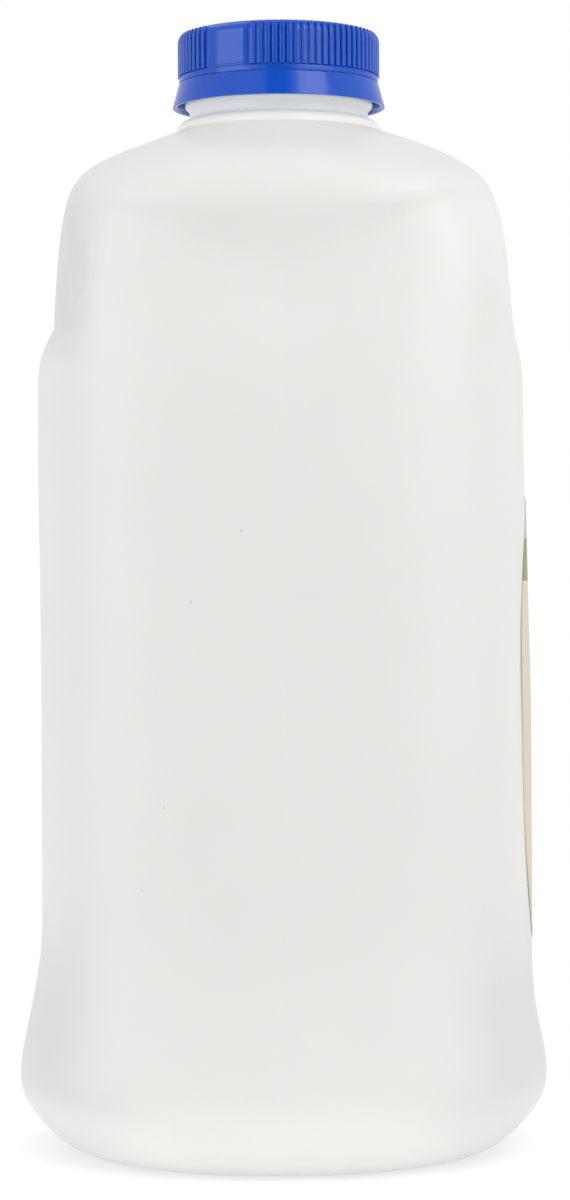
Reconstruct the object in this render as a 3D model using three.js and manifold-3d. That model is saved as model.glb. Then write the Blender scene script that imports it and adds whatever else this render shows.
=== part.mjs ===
// White plastic juice jug with a moulded handle, a ribbed blue screw cap, its tamper band and a side label.
// Millimetres, +Z up. The jug stands on z = 0, its front faces -Y, its label side +X and its handle +Y.
import * as THREE from "three";
import { mergeVertices } from "three/addons/utils/BufferGeometryUtils.js";
import Module from "manifold-3d";

// Lower body
const PANEL_HALF_WIDTH = 48.8;
const PANEL_HALF_DEPTH = 52;
const SHOULDER_SWELL = 0.4; // the side walls swell by this much between SWELL_FROM and SWELL_TO
const SWELL_FROM = 100;
const SWELL_TO = 140;
const FLARE = 5.5; // the foot stands out this far beyond the panels
const FLARE_BOTTOM = 8;
const FLARE_TOP = 48;
const HEEL_HEIGHT = 22;
const HEEL_WIDTH = 15.6;
const PUSH_UP = 4; // height of the hollow in the middle of the base
const BASE_RINGS = [[0.4, PUSH_UP], [0.62, 2.8], [0.76, 0]]; // share of the standing outline, and height
const BULGE = 1.15; // how far the label panel bulges
const BULGE_BOTTOM = [28, 46];
const BULGE_TOP = [85, 150];

// Section squareness: 2 is an ellipse, larger is squarer. Pairs of height and value.
const LOWER_SQUARENESS = [[0, 2.2], [5, 2.3], [10, 2.8], [16, 3.6], [185, 3.6]];
const UPPER_SQUARENESS = [[120, 3.4], [182, 3.4], [190, 3.2], [197, 2.8], [203, 2.2], [208.4, 2]];
const LEFT_SOFTENING = 0.25; // the upper body's left corner is less square by this much, up to the shoulder
const LEFT_SOFTENING_FADE = [184, 197];
const THROAT_SQUARENESS = 2.3;
const REFERENCE_SQUARENESS = 3.6;

// Collar, neck and lip, as radius and height
const COLLAR_FOOT_RADIUS = 20.9;
const COLLAR_FOOT = 208.4;
const NECK_PROFILE = [
  [20.9, 209.5],
  [20.3, 210.4],
  [18.5, 210.8],
  [18.4, 212.8],
  [19.4, 213.6],
  [19.4, 214.6],
  [18.2, 215.8],
  [17.8, 217],
  [17.8, 226],
  [17.2, 226.7],
];
const LIP_TOP_RADIUS = 14;

// Upper body: pairs of height and distance from the neck's axis
const UPPER_LEFT = [[120, 47.4], [170, 45.6], [182, 44.4], [193, 42.6], [196.5, 41.2], [199.5, 38.8],
  [202.5, 34.3], [205.5, 27.6], [COLLAR_FOOT, COLLAR_FOOT_RADIUS]];
const UPPER_RIGHT = [[120, 48.2], [170, 46.7], [182, 45.5], [193, 43.3], [196.5, 41.7], [199.5, 39],
  [202.5, 34.9], [205.5, 28.7], [COLLAR_FOOT, COLLAR_FOOT_RADIUS]];
const FRONT = [[14, 52], [100, 52.5], [150, 51.8], [172, 50.4], [180, 50], [188, 49.9], [193, 48.5],
  [196.5, 46], [199.5, 42.2], [202.5, 36.2], [205.5, 28.6], [COLLAR_FOOT, COLLAR_FOOT_RADIUS]];
const THROAT = [[110, 10], [130, 5], [150, 4], [172, 5], [186, 11], [198, 20.5], [203, 22.5],
  [COLLAR_FOOT, COLLAR_FOOT_RADIUS]];
const UPPER_MIDDLE = [[120, -16], [178, -18], [192, -12], [200, -4], [COLLAR_FOOT, 0]];

// Ledge under the hand recess: its inner corner falls from the front to the back, and the wall reaches its
// full width some way below it. Depths run from -1 at the front to 1 at the back.
const LEDGE_FRONT = 178;
const LEDGE_BACK = 133;
const LEDGE_FALL = 1.1;
const LEDGE_RISE = [[-1, 14], [-0.5, 11], [0.2, 10], [1, 15]];
const LEDGE_CREASE = 2; // 1 is a straight slope under the corner, larger is rounder below it
const POCKET_REACH = 11; // height of the extra hollow over the corner, which is this deep at these depths
const POCKET_LEFT = [[-0.88, 0], [-0.76, 4], [-0.6, 4], [-0.38, 0.3], [-0.1, 0]];
const POCKET_RIGHT = [[-0.64, 0], [-0.52, 1.5], [-0.44, 1.5], [-0.3, 0]];
const DOME_FROM = 194;

// Brow: a shallow V-shaped dip across the front under the shoulder
const DIP = 3;
const DIP_POINT = 176;
const DIP_LEFT_RISE = 17; // how much higher the dip lies at its ends than at its point
const DIP_RIGHT_RISE = 20;
const DIP_POINT_WIDTH = 6;
const DIP_HALF_WIDTH = 47;
const DIP_SQUARENESS = 4;
const DIP_TOP = 193.5; // its upper edge is level
const DIP_UP_SHARE = 0.67; // it fades over this share of the way up to that edge
const DIP_EDGE = 3; // and never turns more sharply than over this height
const DIP_REACH_DOWN = 15;
const DIP_FADE = [-30, -8]; // it fades out round the corners between these depths

// Handle: its centre line in the plane of symmetry, as depth and height, and its half sizes
const HANDLE_LINE = [[35, 101], [37.6, 112], [39, 123], [41, 139], [41.4, 155], [39.6, 171], [32.5, 185.5],
  [20, 192], [6, 193], [-9, 191]];
const HANDLE_HALF_WIDTH = 11.5;
const HANDLE_HALF_DEPTH = 10.5;
const HANDLE_FLARE = 10;
const HANDLE_FLARE_SHARE = 0.27;

// Cap and tamper band
const RIB_COUNT = 86;
const RIB_CREST_RADIUS = 20.85;
const RIB_ROOT_RADIUS = 20.35;
const RIB_BOTTOM = 219.9;
const RIB_TOP = 226.5;
const SMOOTH_FROM_DEG = 227; // the ribs leave this stretch of the skirt plain
const SMOOTH_TO_DEG = 251;
const CAP_TOP = 229;
const CAP_EDGE_RADIUS = 2.2;
const CAP_EDGE_STEPS = [0.25, 0.6, 1];
const CAP_HEM_RADIUS = 20.6;
const CAP_HEM_BOTTOM = 218.6;
const CAP_BORE_RADIUS = 19;
const CAP_BORE_TOP = 227.4;
const BAND_PROFILE = [
  [20, 218.2],
  [20, 216.6],
  [20.9, 213.6],
  [21.95, 213.6],
  [20.7, 218.2],
];

// Label: a rounded patch on the +X panel
const LABEL_HALF_WIDTH = 32;
const LABEL_HALF_HEIGHT = 46;
const LABEL_CENTRE = { y: -1.5, z: 88 };
const LABEL_SQUARENESS = 2.8;
const LABEL_THICKNESS = 0.3;
const LABEL_GAP = 0.32;
const LABEL_REACH_ANGLE = 1.2; // the label's whole width lies within this angle of +X

// Fineness
const COLUMN_CENTRE = -12; // depth of the upright line that the wall's columns are spread round
const RAY_REACH = 90;
const BODY_COLUMNS = 56;
const HEEL_ROWS = 6;
const WALL_ROWS = 16;
const LEDGE_ROWS = 8;
const RECESS_ROWS = 9;
const DOME_ROWS = 8;
const HANDLE_COLUMNS = 20;
const HANDLE_RINGS = 22;
const TURNED_SEGMENTS = 72;
const LABEL_RINGS = 6;
const LABEL_COLUMNS = 40;
const HALVINGS = 40;
const SMALL_TURN = 0.01;
const SMALL_RISE = 0.1;
const WELD = 1e-4;

const wasm = await Module();
wasm.setup();

const mix = (a, b, share) => a + (b - a) * share;

function smoothStep([from, to], value) {
  const share = THREE.MathUtils.clamp((value - from) / (to - from), 0, 1);
  return share * share * (3 - 2 * share);
}

// Slope at each point of a curve that never overshoots its points.
function curveSlopes(points) {
  const rise = points.slice(1).map(([x, y], i) => (y - points[i][1]) / (x - points[i][0]));
  return points.map((point, i) => {
    if (i === 0) return rise[0];
    if (i === points.length - 1) return rise[i - 1];
    if (rise[i - 1] * rise[i] <= 0) return 0;
    const before = point[0] - points[i - 1][0];
    const after = points[i + 1][0] - point[0];
    const nearAfter = 2 * after + before;
    const nearBefore = after + 2 * before;
    return (nearAfter + nearBefore) / (nearAfter / rise[i - 1] + nearBefore / rise[i]);
  });
}

// Smooth curve through pairs of height and value.
function curveThrough(points) {
  const slopes = curveSlopes(points);
  const last = points.length - 1;
  return (height) => {
    const x = THREE.MathUtils.clamp(height, points[0][0], points[last][0]);
    let i = 0;
    while (i < last - 1 && x > points[i + 1][0]) i += 1;
    const [x0, y0] = points[i];
    const [x1, y1] = points[i + 1];
    const step = x1 - x0;
    const t = (x - x0) / step;
    const blend = t * t * (3 - 2 * t);
    const leave = t * (1 - t) * (1 - t) * step * slopes[i];
    const arrive = t * t * (t - 1) * step * slopes[i + 1];
    return mix(y0, y1, blend) + leave + arrive;
  };
}

const upperLeft = curveThrough(UPPER_LEFT);
const upperRight = curveThrough(UPPER_RIGHT);
const frontDepth = curveThrough(FRONT);
const throatDepth = curveThrough(THROAT);
const upperMiddle = curveThrough(UPPER_MIDDLE);
const lowerSquareness = curveThrough(LOWER_SQUARENESS);
const upperSquareness = curveThrough(UPPER_SQUARENESS);
const ledgeRise = curveThrough(LEDGE_RISE);
const pocketLeft = curveThrough(POCKET_LEFT);
const pocketRight = curveThrough(POCKET_RIGHT);

function squareRadius(c, s, halfWidth, halfDepth, squareness) {
  const wide = Math.abs(c / halfWidth) ** squareness;
  const deep = Math.abs(s / halfDepth) ** squareness;
  return (wide + deep) ** (-1 / squareness);
}

// Less than 1 inside a rounded section, 1 on its outline and more outside.
function measure(x, y, size) {
  const halfWidth = x > 0 ? size.right : size.left;
  const halfDepth = y > size.middle ? size.back - size.middle : size.front + size.middle;
  const squareness = y > size.middle ? size.backSquareness : size.frontSquareness;
  return Math.abs(x / halfWidth) ** squareness + Math.abs((y - size.middle) / halfDepth) ** squareness;
}

// Point where a level ray from the columns' centre leaves a section.
function rayOut(angle, size) {
  const c = Math.cos(angle);
  const s = Math.sin(angle);
  let low = 0;
  let high = RAY_REACH;
  for (let i = 0; i < HALVINGS; i += 1) {
    const reach = (low + high) / 2;
    if (measure(reach * c, COLUMN_CENTRE + reach * s, size) < 1) low = reach;
    else high = reach;
  }
  return { x: low * c, y: COLUMN_CENTRE + low * s };
}

// Section that is alike at its front and back, about the neck's axis.
function evenSection(left, right, front, back, squareness) {
  return { left, right, front, back, middle: 0, frontSquareness: squareness, backSquareness: squareness };
}

// How far the wall stands out beyond the panel: the flared foot less the rounded heel.
function footOffset(z) {
  const low = THREE.MathUtils.clamp(1 - z / HEEL_HEIGHT, 0, 1);
  const heel = HEEL_WIDTH * (1 - Math.sqrt(1 - low * low));
  return FLARE * (1 - smoothStep([FLARE_BOTTOM, FLARE_TOP], z)) - heel;
}

function lowerPoint(angle, z) {
  const foot = footOffset(z);
  const side = PANEL_HALF_WIDTH + SHOULDER_SWELL * smoothStep([SWELL_FROM, SWELL_TO], z) + foot;
  const bulge = BULGE * smoothStep(BULGE_BOTTOM, z) * (1 - smoothStep(BULGE_TOP, z));
  const front = frontDepth(z) + foot;
  const back = PANEL_HALF_DEPTH + foot;
  return rayOut(angle, evenSection(side, side + bulge, front, back, lowerSquareness(z)));
}

function upperPoint(angle, z) {
  const softening = Math.cos(angle) < 0 ? LEFT_SOFTENING * (1 - smoothStep(LEFT_SOFTENING_FADE, z)) : 0;
  const squareness = upperSquareness(z) - softening;
  return rayOut(angle, {
    left: upperLeft(z),
    right: upperRight(z),
    front: frontDepth(z),
    back: throatDepth(z),
    middle: upperMiddle(z),
    frontSquareness: squareness,
    backSquareness: Math.min(squareness, THROAT_SQUARENESS),
  });
}

function neckPoint(angle, radius, z) {
  const { x, y } = rayOut(angle, evenSection(radius, radius, radius, radius, 2));
  return new THREE.Vector3(x, y, z);
}

// How far back the wall is at an angle, from -1 at the front to 1 at the back.
function depthRound(angle) {
  const wide = PANEL_HALF_WIDTH;
  const deep = PANEL_HALF_DEPTH;
  return rayOut(angle, evenSection(wide, wide, deep, deep, REFERENCE_SQUARENESS)).y / deep;
}

// Height of the ledge's inner corner at an angle, and of the edge below it.
function ledgeCorner(angle) {
  const along = THREE.MathUtils.clamp((1 + depthRound(angle)) / 2, 0, 1);
  return mix(LEDGE_FRONT, LEDGE_BACK, along ** LEDGE_FALL);
}

const ledgeEdge = (angle) => ledgeCorner(angle) - ledgeRise(depthRound(angle));

// Depth of the brow's dip, deepest along a V whose point is in the middle.
function browDip(x, y, z) {
  const front = 1 - THREE.MathUtils.smoothstep(y, ...DIP_FADE);
  const across = Math.max(0, 1 - (x / DIP_HALF_WIDTH) ** DIP_SQUARENESS);
  const arm = (Math.hypot(x, DIP_POINT_WIDTH) - DIP_POINT_WIDTH) / (DIP_HALF_WIDTH - DIP_POINT_WIDTH);
  const deepest = DIP_POINT + (x > 0 ? DIP_RIGHT_RISE : DIP_LEFT_RISE) * arm;
  const reachUp = Math.max(DIP_EDGE, (DIP_TOP - deepest) * DIP_UP_SHARE);
  const reach = z > deepest ? reachUp : DIP_REACH_DOWN;
  return DIP * front * across * Math.exp(-(((z - deepest) / reach) ** 2));
}

// How much deeper the side recess is just over the ledge.
function sidePocket(angle, z, lowerShare) {
  const depth = depthRound(angle);
  const hollow = Math.cos(angle) > 0 ? pocketRight(depth) : pocketLeft(depth);
  const over = Math.max(0, z - ledgeCorner(angle));
  return hollow * (1 - lowerShare) * Math.exp(-((over / POCKET_REACH) ** 2));
}

// Wall point at an angle and height, mixed from the lower and the upper body.
function wallPoint(angle, z, lowerShare) {
  const lower = lowerPoint(angle, z);
  const upper = upperPoint(angle, z);
  const x = mix(upper.x, lower.x, lowerShare);
  const y = mix(upper.y, lower.y, lowerShare);
  const pocket = sidePocket(angle, z, lowerShare);
  const depth = y + browDip(x, y, z) - pocket * Math.sin(angle);
  return new THREE.Vector3(x - pocket * Math.cos(angle), depth, z);
}

function basePoint(angle, share, z) {
  const ring = lowerPoint(angle, 0);
  return new THREE.Vector3(ring.x * share, ring.y * share, z);
}

const steps = (count) => Array.from({ length: count }, (_, i) => i / count);

// Rings of the wall from the heel to the collar, as functions of the angle.
function wallRows() {
  const heel = steps(HEEL_ROWS).map((share) => {
    const z = HEEL_HEIGHT * (1 - Math.cos((share * Math.PI) / 2));
    return (angle) => wallPoint(angle, z, 1);
  });
  const wall = steps(WALL_ROWS).map((share) => (angle) =>
    wallPoint(angle, mix(HEEL_HEIGHT, ledgeEdge(angle), share), 1));
  const ledge = steps(LEDGE_ROWS).map((share) => (angle) =>
    wallPoint(angle, mix(ledgeEdge(angle), ledgeCorner(angle), share), 1 - share ** LEDGE_CREASE));
  const recess = steps(RECESS_ROWS).map((share) => (angle) =>
    wallPoint(angle, mix(ledgeCorner(angle), DOME_FROM, share), 0));
  const dome = [...steps(DOME_ROWS), 1].map((share) => {
    const z = mix(DOME_FROM, COLLAR_FOOT, Math.sin((share * Math.PI) / 2));
    return (angle) => wallPoint(angle, z, 0);
  });
  return [...heel, ...wall, ...ledge, ...recess, ...dome];
}

// Closed skin over rings of points, with a pole at each end. Rings run anticlockwise seen from the end.
function skin(rings, startPole, endPole) {
  const columns = rings[0].length;
  const vertices = [startPole, ...rings.flat(), endPole];
  const end = vertices.length - 1;
  const triangles = [];
  for (let j = 0; j < columns; j += 1) {
    const k = (j + 1) % columns;
    triangles.push(0, 1 + k, 1 + j);
    for (let i = 0; i < rings.length - 1; i += 1) {
      const low = 1 + i * columns;
      const high = low + columns;
      triangles.push(low + j, low + k, high + k, low + j, high + k, high + j);
    }
    triangles.push(end - columns + j, end - columns + k, end);
  }
  const geometry = new THREE.BufferGeometry();
  geometry.setFromPoints(vertices);
  geometry.setIndex(triangles);
  return geometry;
}

function ringOf(columns, pointAt) {
  return Array.from({ length: columns }, (_, j) => pointAt((2 * Math.PI * j) / columns - Math.PI / 2));
}

function bodySkin() {
  const baseRings = BASE_RINGS.map(([share, z]) =>
    ringOf(BODY_COLUMNS, (angle) => basePoint(angle, share, z)),
  );
  const wallRings = wallRows().map((row) => ringOf(BODY_COLUMNS, row));
  const neck = [...NECK_PROFILE, [LIP_TOP_RADIUS, NECK_PROFILE.at(-1)[1]]];
  const neckRings = neck.map(([radius, z]) => ringOf(BODY_COLUMNS, (angle) => neckPoint(angle, radius, z)));
  const bottom = new THREE.Vector3(0, 0, PUSH_UP);
  const top = new THREE.Vector3(0, 0, NECK_PROFILE.at(-1)[1]);
  return skin([...baseRings, ...wallRings, ...neckRings], bottom, top);
}

// Handle: oval rings along its centre line, which spread sideways and inwards towards both roots.
function handleSkin() {
  const line = new THREE.CatmullRomCurve3(HANDLE_LINE.map(([y, z]) => new THREE.Vector3(0, y, z)));
  const rings = Array.from({ length: HANDLE_RINGS }, (_, i) => {
    const along = i / (HANDLE_RINGS - 1);
    const centre = line.getPointAt(along);
    const heading = line.getTangentAt(along);
    const outward = new THREE.Vector3(0, heading.z, -heading.y);
    const root = Math.max(0, 1 - Math.min(along, 1 - along) / HANDLE_FLARE_SHARE);
    const flare = HANDLE_FLARE * root * root;
    return ringOf(HANDLE_COLUMNS, (angle) => {
      const across = (HANDLE_HALF_WIDTH + flare) * Math.cos(angle);
      const deep = (HANDLE_HALF_DEPTH + flare) * Math.sin(angle) - flare;
      return centre.clone().addScaledVector(outward, deep).setX(across);
    });
  });
  return skin(rings, line.getPointAt(0), line.getPointAt(1));
}

function solidFrom(geometry) {
  const bare = geometry.clone();
  bare.deleteAttribute("normal");
  bare.deleteAttribute("uv");
  const merged = mergeVertices(bare, WELD);
  const vertProperties = new Float32Array(merged.attributes.position.array);
  const triVerts = new Uint32Array(merged.index.array);
  return new wasm.Manifold(new wasm.Mesh({ numProp: 3, vertProperties, triVerts }));
}

function geometryFrom(solid) {
  const mesh = solid.getMesh();
  const geometry = new THREE.BufferGeometry();
  geometry.setAttribute("position", new THREE.BufferAttribute(mesh.vertProperties, 3));
  geometry.setIndex(new THREE.BufferAttribute(mesh.triVerts, 1));
  geometry.computeVertexNormals();
  return geometry;
}

const jugGeometry = () => geometryFrom(solidFrom(bodySkin()).add(solidFrom(handleSkin())));

// Turned ring or cup about the Z axis from a closed outline of radius and height.
function turned(profile) {
  const outline = [...profile, profile[0]].map(([radius, z]) => new THREE.Vector2(radius, z));
  const geometry = new THREE.LatheGeometry(outline, TURNED_SEGMENTS);
  geometry.rotateX(Math.PI / 2);
  return geometry;
}

// Ribs and the plain stretch of the skirt stand out equally far.
function standsOut(column) {
  const degrees = THREE.MathUtils.euclideanModulo((column * 180) / RIB_COUNT - 90, 360);
  return column % 2 === 1 || (degrees > SMOOTH_FROM_DEG && degrees < SMOOTH_TO_DEG);
}

// Cap: outer skin from the hem over the ribs and the rounded edge to the top, and a bore open below.
function capGeometry() {
  const columns = 2 * RIB_COUNT;
  const ring = (radius, z, crest = radius) =>
    Array.from({ length: columns }, (_, j) => {
      const angle = (2 * Math.PI * j) / columns - Math.PI / 2;
      const reach = standsOut(j) ? crest : radius;
      return new THREE.Vector3(reach * Math.cos(angle), reach * Math.sin(angle), z);
    });
  const edge = CAP_EDGE_STEPS.map((share) => {
    const turn = (share * Math.PI) / 2;
    const radius = RIB_ROOT_RADIUS - CAP_EDGE_RADIUS * (1 - Math.cos(turn));
    return ring(radius, CAP_TOP - CAP_EDGE_RADIUS * (1 - Math.sin(turn)));
  });
  const rings = [
    ring(CAP_BORE_RADIUS, CAP_BORE_TOP),
    ring(CAP_BORE_RADIUS, CAP_HEM_BOTTOM),
    ring(CAP_HEM_RADIUS, CAP_HEM_BOTTOM),
    ring(CAP_HEM_RADIUS, RIB_BOTTOM),
    ring(RIB_ROOT_RADIUS, RIB_BOTTOM, RIB_CREST_RADIUS),
    ring(RIB_ROOT_RADIUS, RIB_TOP, RIB_CREST_RADIUS),
    ring(RIB_ROOT_RADIUS, CAP_TOP - CAP_EDGE_RADIUS),
    ...edge,
  ];
  return skin(rings, new THREE.Vector3(0, 0, CAP_BORE_TOP), new THREE.Vector3(0, 0, CAP_TOP));
}

// Label: a thin patch that follows the bulged panel a little clear of it.
function labelPoint(angle, share, lift) {
  const reach = share * squareRadius(
    Math.cos(angle), Math.sin(angle), LABEL_HALF_WIDTH, LABEL_HALF_HEIGHT, LABEL_SQUARENESS);
  const y = LABEL_CENTRE.y + reach * Math.cos(angle);
  const z = LABEL_CENTRE.z + reach * Math.sin(angle);
  return panelPoint(y, z, lift);
}

// Point on the +X wall at a depth and height, pushed out along the wall's own direction.
function panelPoint(y, z, lift) {
  let low = -LABEL_REACH_ANGLE;
  let high = LABEL_REACH_ANGLE;
  for (let i = 0; i < HALVINGS; i += 1) {
    const angle = (low + high) / 2;
    if (lowerPoint(angle, z).y < y) low = angle;
    else high = angle;
  }
  const wall = (turn, height) => {
    const { x, y: depth } = lowerPoint(turn, height);
    return new THREE.Vector3(x, depth, height);
  };
  const here = wall(low, z);
  const along = wall(low + SMALL_TURN, z).sub(here);
  const up = wall(low, z + SMALL_RISE).sub(here);
  return here.addScaledVector(along.cross(up).normalize(), lift);
}

function labelGeometry() {
  const shares = Array.from({ length: LABEL_RINGS }, (_, i) => (i + 1) / LABEL_RINGS);
  const outer = LABEL_GAP + LABEL_THICKNESS;
  const ring = (share, lift) => ringOf(LABEL_COLUMNS, (angle) => labelPoint(angle, share, lift));
  const face = (lift) => shares.map((share) => ring(share, lift));
  const back = panelPoint(LABEL_CENTRE.y, LABEL_CENTRE.z, LABEL_GAP);
  const front = panelPoint(LABEL_CENTRE.y, LABEL_CENTRE.z, outer);
  return skin([...face(LABEL_GAP), ...face(outer).reverse()], back, front);
}

function part(name, geometry, color, roughness) {
  const material = new THREE.MeshStandardMaterial({ color, roughness, metalness: 0 });
  const mesh = new THREE.Mesh(geometry, material);
  mesh.name = name;
  return mesh;
}

const jug = new THREE.Group();
jug.add(part("jug_body", jugGeometry(), 0xe8e8e6, 0.45));
jug.add(part("screw_cap", capGeometry(), 0x3560bb, 0.4));
jug.add(part("tamper_band", turned(BAND_PROFILE), 0x3560bb, 0.4));
jug.add(part("side_label", labelGeometry(), 0xddd3bc, 0.6));

export default jug;
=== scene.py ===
import math

import bpy
import numpy as np
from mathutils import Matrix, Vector
from mathutils.kdtree import KDTree


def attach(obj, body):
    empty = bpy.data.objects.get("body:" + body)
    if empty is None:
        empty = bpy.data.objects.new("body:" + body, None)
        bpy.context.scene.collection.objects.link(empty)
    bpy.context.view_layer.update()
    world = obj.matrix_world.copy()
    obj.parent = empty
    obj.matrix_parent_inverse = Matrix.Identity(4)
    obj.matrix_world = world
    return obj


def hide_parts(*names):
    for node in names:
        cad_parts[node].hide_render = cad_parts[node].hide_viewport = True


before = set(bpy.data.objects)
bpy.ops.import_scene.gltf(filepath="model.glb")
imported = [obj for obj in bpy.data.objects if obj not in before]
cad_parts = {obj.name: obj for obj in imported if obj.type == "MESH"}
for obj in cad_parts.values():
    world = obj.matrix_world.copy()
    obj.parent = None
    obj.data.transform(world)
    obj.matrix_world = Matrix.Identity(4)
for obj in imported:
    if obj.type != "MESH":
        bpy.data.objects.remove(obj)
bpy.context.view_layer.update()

# Sizes are in millimetres, in the frame's own axes: -Y front, +X label side, +Y handle, z = 0 floor.
MM = 0.001

# Lower body
PANEL_HALF_WIDTH = 48.8
PANEL_HALF_DEPTH = 52
SHOULDER_SWELL = 0.4
SWELL_SPAN = (100, 140)
FLARE = 5.5
FLARE_SPAN = (8, 48)
HEEL_HEIGHT = 22
HEEL_WIDTH = 15.6
BULGE = 1.5
BULGE_BOTTOM = (28, 46)
BULGE_TOP = (85, 150)
BASE_HOLLOW = [(0, 4), (0.4, 3.9), (0.62, 2.8), (0.76, 0), (1, 0)]  # share of the standing outline, height
BASE_REACH = 0.985  # the base's last ring lies this share of the way out to the standing outline

# Section squareness by height: 2 is an ellipse, larger is squarer
LOWER_SQUARENESS = [(0, 2.2), (5, 2.3), (10, 2.8), (16, 3.6), (185, 3.6)]
UPPER_SQUARENESS = [(120, 3.4), (182, 3.4), (190, 3.2), (197, 2.8), (203, 2.2), (208.4, 2)]
LEFT_SOFTENING = 0.25  # the upper body's left corner is less square by this much, up to the shoulder
LEFT_SOFTENING_FADE = (184, 197)
THROAT_SQUARENESS = 2.3
REFERENCE_SQUARENESS = 3.6

# Collar, neck and lip, as radius and height
COLLAR_FOOT_RADIUS = 20.9
COLLAR_FOOT = 208.4
NECK_PROFILE = [
    (COLLAR_FOOT_RADIUS, COLLAR_FOOT),
    (20.9, 209.5),
    (20.3, 210.4),
    (19.3, 210.7),
    (18.45, 210.8),
    (18.4, 212.8),
    (19.4, 213.6),
    (19.4, 214.6),
    (18.2, 215.8),
    (17.8, 217),
    (17.8, 226),
    (17.2, 226.7),
    (14, 226.7),
]

# Upper body: height and distance from the neck's axis
UPPER_LEFT = [(120, 47.4), (170, 45.6), (182, 44.4), (193, 42.6), (196.5, 41.2), (199.5, 38.8),
              (202.5, 34.3), (205.5, 27.6), (COLLAR_FOOT, COLLAR_FOOT_RADIUS)]
UPPER_RIGHT = [(120, 48.2), (170, 46.7), (182, 45.5), (193, 43.3), (196.5, 41.7), (199.5, 39),
               (202.5, 34.9), (205.5, 28.7), (COLLAR_FOOT, COLLAR_FOOT_RADIUS)]
FRONT = [(14, 52), (100, 52.5), (150, 51.8), (172, 50.4), (180, 50), (188, 49.9), (193, 48.5),
         (196.5, 46), (199.5, 42.2), (202.5, 36.2), (205.5, 28.6), (COLLAR_FOOT, COLLAR_FOOT_RADIUS)]
THROAT = [(110, 10), (130, 5), (150, 4), (172, 5), (186, 11), (198, 20.5), (203, 22.5),
          (COLLAR_FOOT, COLLAR_FOOT_RADIUS)]
UPPER_MIDDLE = [(120, -16), (178, -18), (192, -12), (200, -4), (COLLAR_FOOT, 0)]

# Ledge under the hand recess: its inner corner falls from the front to the back, and the wall reaches its
# full width some way below it. Depths run from -1 at the front to 1 at the back.
LEDGE_FRONT = 178
LEDGE_BACK = 133
LEDGE_FALL = 1.1
LEDGE_RISE = [(-1, 14), (-0.5, 11), (0.2, 10), (1, 15)]
LEDGE_CREASE = 2  # 1 is a straight slope under the corner, larger is rounder below it
POCKET_LEFT = [(-0.88, 0), (-0.76, 4), (-0.6, 4), (-0.38, 0.3), (-0.1, 0)]  # extra hollow over the corner
POCKET_RIGHT = [(-0.64, 0), (-0.52, 1.5), (-0.44, 1.5), (-0.3, 0)]
POCKET_REACH = 11
DOME_FROM = 194

# Brow: a shallow V-shaped dip across the front under the shoulder
DIP = 3
DIP_POINT = 176
DIP_LEFT_RISE = 17  # how much higher the dip lies at its ends than at its point
DIP_RIGHT_RISE = 20
DIP_POINT_WIDTH = 6
DIP_HALF_WIDTH = 47
DIP_SQUARENESS = 4
DIP_TOP = 193.5  # its upper edge is level
DIP_UP_SHARE = 0.67  # it fades over this share of the way up to that edge
DIP_EDGE = 3  # and never turns more sharply than over this height
DIP_REACH_DOWN = 15
DIP_FADE = (-30, -8)  # it fades out round the corners between these depths

# Handle: its centre line as depth and height, and its half sizes
HANDLE_LINE = [(35, 101), (37.6, 112), (39, 123), (41, 139), (41.4, 155), (39.6, 171), (32.5, 185.5),
               (20, 192), (6, 193), (-9, 191)]
HANDLE_HALF_WIDTH = 11.5
HANDLE_HALF_DEPTH = 10.5
HANDLE_FLARE = 10
HANDLE_FLARE_SHARE = 0.27
ROOT_BLEND = 7  # the handle's roots run into the wall over this distance
ROOT_BLEND_ROUNDS = 40
ROOT_BLEND_STEP = 0.6

# Mould marks
SEAM_HEIGHT = 0.035
SEAM_WIDTH = 0.4
FOOT_LINE = 12
FOOT_LINE_HEIGHT = 0.12
FOOT_LINE_WIDTH = 0.5
PINCH_HEIGHT = 0.6  # the pinched seam under the base
PINCH_FADE = (0.8, 0.4)  # it fades in towards the middle between these shares of the standing outline
WAVE_DEPTH = 0.06
BROAD_WAVE = (11, 19, 13, 17)  # lengths of the wall's slight waviness
FINE_WAVE = (6.3, 8.7, 9)
FINE_WAVE_SHARE = 0.6
WAVE_BOTTOM = (20, 40)
WAVE_TOP = (196, 206)

# Cap and tamper band
RIB_COUNT = 86
RIB_CREST_RADIUS = 20.85
RIB_ROOT_RADIUS = 20.35
RIB_WIDTH = 1.08
RIB_ROUNDING = 0.3
RIB_SINK = 0.4  # the ribs reach this far into the skirt
RIB_END_FROM = 0.4  # share of their length, from the middle, beyond which they narrow
RIB_END_SHARE = 0.72
RIB_BOTTOM = 219.9
RIB_TOP = 228.3
PLAIN_FROM_DEG = 227
PLAIN_TO_DEG = 251
PAD_EDGE_DEG = 1  # the plain stretch sinks to the ribs' roots over this turn, and over these heights
PAD_FOOT = 0.1
PAD_HEAD = 0.3
CAP_TOP = 229
CAP_EDGE_RADIUS = 2.2
CAP_HEM_RADIUS = 20.6
CAP_HEM_BOTTOM = 218.6
CAP_HEM_ROUNDING = 0.1
CAP_HEM_STEP = 0.05
CAP_BORE_RADIUS = 19
CAP_BORE_TOP = 227.4
CAP_DISH = 0.4
CAP_DISH_RADIUS = 16.5
CAP_DISH_SLOPE = 0.6
BAND_PROFILE = [
    (20, 218.52),
    (20, 216.6),
    (20.9, 213.6),
    (21.8, 213.55),
    (21.95, 213.6),
    (21.87, 213.9),
    (20.72, 218.2),
    (20.65, 218.52),
]
BRIDGE_COUNT = 18
BRIDGE_SIZE = (0.5, 1.1, 0.5)
BRIDGE_RADIUS = 20.25
BRIDGE_MIDDLE = 218.5

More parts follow.
